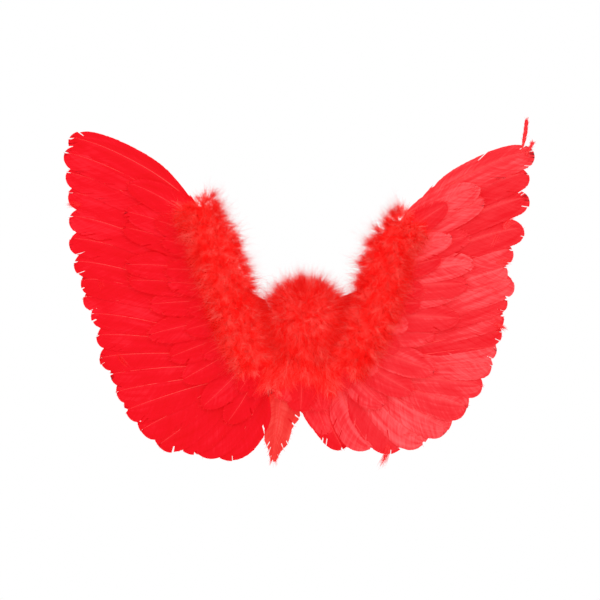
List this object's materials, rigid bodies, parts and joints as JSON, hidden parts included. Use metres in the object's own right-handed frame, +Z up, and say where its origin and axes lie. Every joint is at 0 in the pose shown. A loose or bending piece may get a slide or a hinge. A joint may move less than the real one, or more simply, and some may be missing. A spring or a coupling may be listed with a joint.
{
  "type": "fairy wings",
  "caption": "Pair of upswept red feather costume wings edged with marabou down, folding back on two sleeve hinges beside a padded back board with elastic shoulder loops.",
  "frame": {"origin": "centre of the back pad's flat face, which rests between the wearer's shoulder blades", "axes": "+X along the span towards the wing on the right of the decorated face, +Y out of the pad towards the wearer, +Z up"},
  "size_m": [0.4716, 0.0986, 0.3431],
  "materials": {
    "board_card": "matt",
    "pad_felt": "matt",
    "sewing_thread": "satin",
    "feather_red": "satin",
    "feather_light_red": "satin",
    "feather_orange_red": "satin",
    "quill": "satin",
    "marabou_down": "matt",
    "sleeve_plastic": "satin",
    "elastic": "matt",
    "frame_wire": "satin",
    "crimp_metal": "satin",
    "base_felt": "matt",
    "lining_felt": "matt",
    "boa_cord": "matt"
  },
  "bodies": {
    "centre": {"back_board": "board_card", "back_pad": "pad_felt", "centre_coverts": "feather_light_red", "centre_marabou": "marabou_down", "hinge_sleeve_left": "sleeve_plastic", "hinge_sleeve_right": "sleeve_plastic", "loose_plume": "feather_orange_red", "shoulder_strap_left": "elastic", "shoulder_strap_right": "elastic", "sleeve_stitching": "sewing_thread", "strap_stitching": "sewing_thread", "tail_feathers": "feather_red"},
    "left_wing": {"back_lining_left": "lining_felt", "boa_cord_left": "boa_cord", "greater_coverts_left": "feather_red", "marabou_trim_left": "marabou_down", "median_coverts_left": "feather_red", "primary_feathers_left": "feather_red", "scapular_feathers_left": "feather_red", "secondary_feathers_left": "feather_red", "tertial_feathers_left": "feather_red", "wing_base_left": "base_felt", "wire_crimps_left": "crimp_metal", "wire_frame_left": "frame_wire"},
    "right_wing": {"back_lining_right": "lining_felt", "boa_cord_right": "boa_cord", "greater_coverts_right": "feather_light_red", "marabou_trim_right": "marabou_down", "median_coverts_right": "feather_light_red", "primary_feathers_right": "feather_light_red", "scapular_feathers_right": "feather_light_red", "secondary_feathers_right": "feather_light_red", "stripped_quills": "quill", "tertial_feathers_right": "feather_light_red", "wing_base_right": "base_felt", "wire_crimps_right": "crimp_metal", "wire_frame_right": "frame_wire"}
  },
  "joints": [
    {"name": "left_wing_fold", "type": "hinge", "parent": "centre", "child": "left_wing", "pos_m": [-0.028, -0.004, 0], "axis": [0, 0, 1], "range_deg": [0, 40]},
    {"name": "right_wing_fold", "type": "hinge", "parent": "centre", "child": "right_wing", "pos_m": [0.028, -0.004, 0], "axis": [0, 0, -1], "range_deg": [0, 40]}
  ]
}
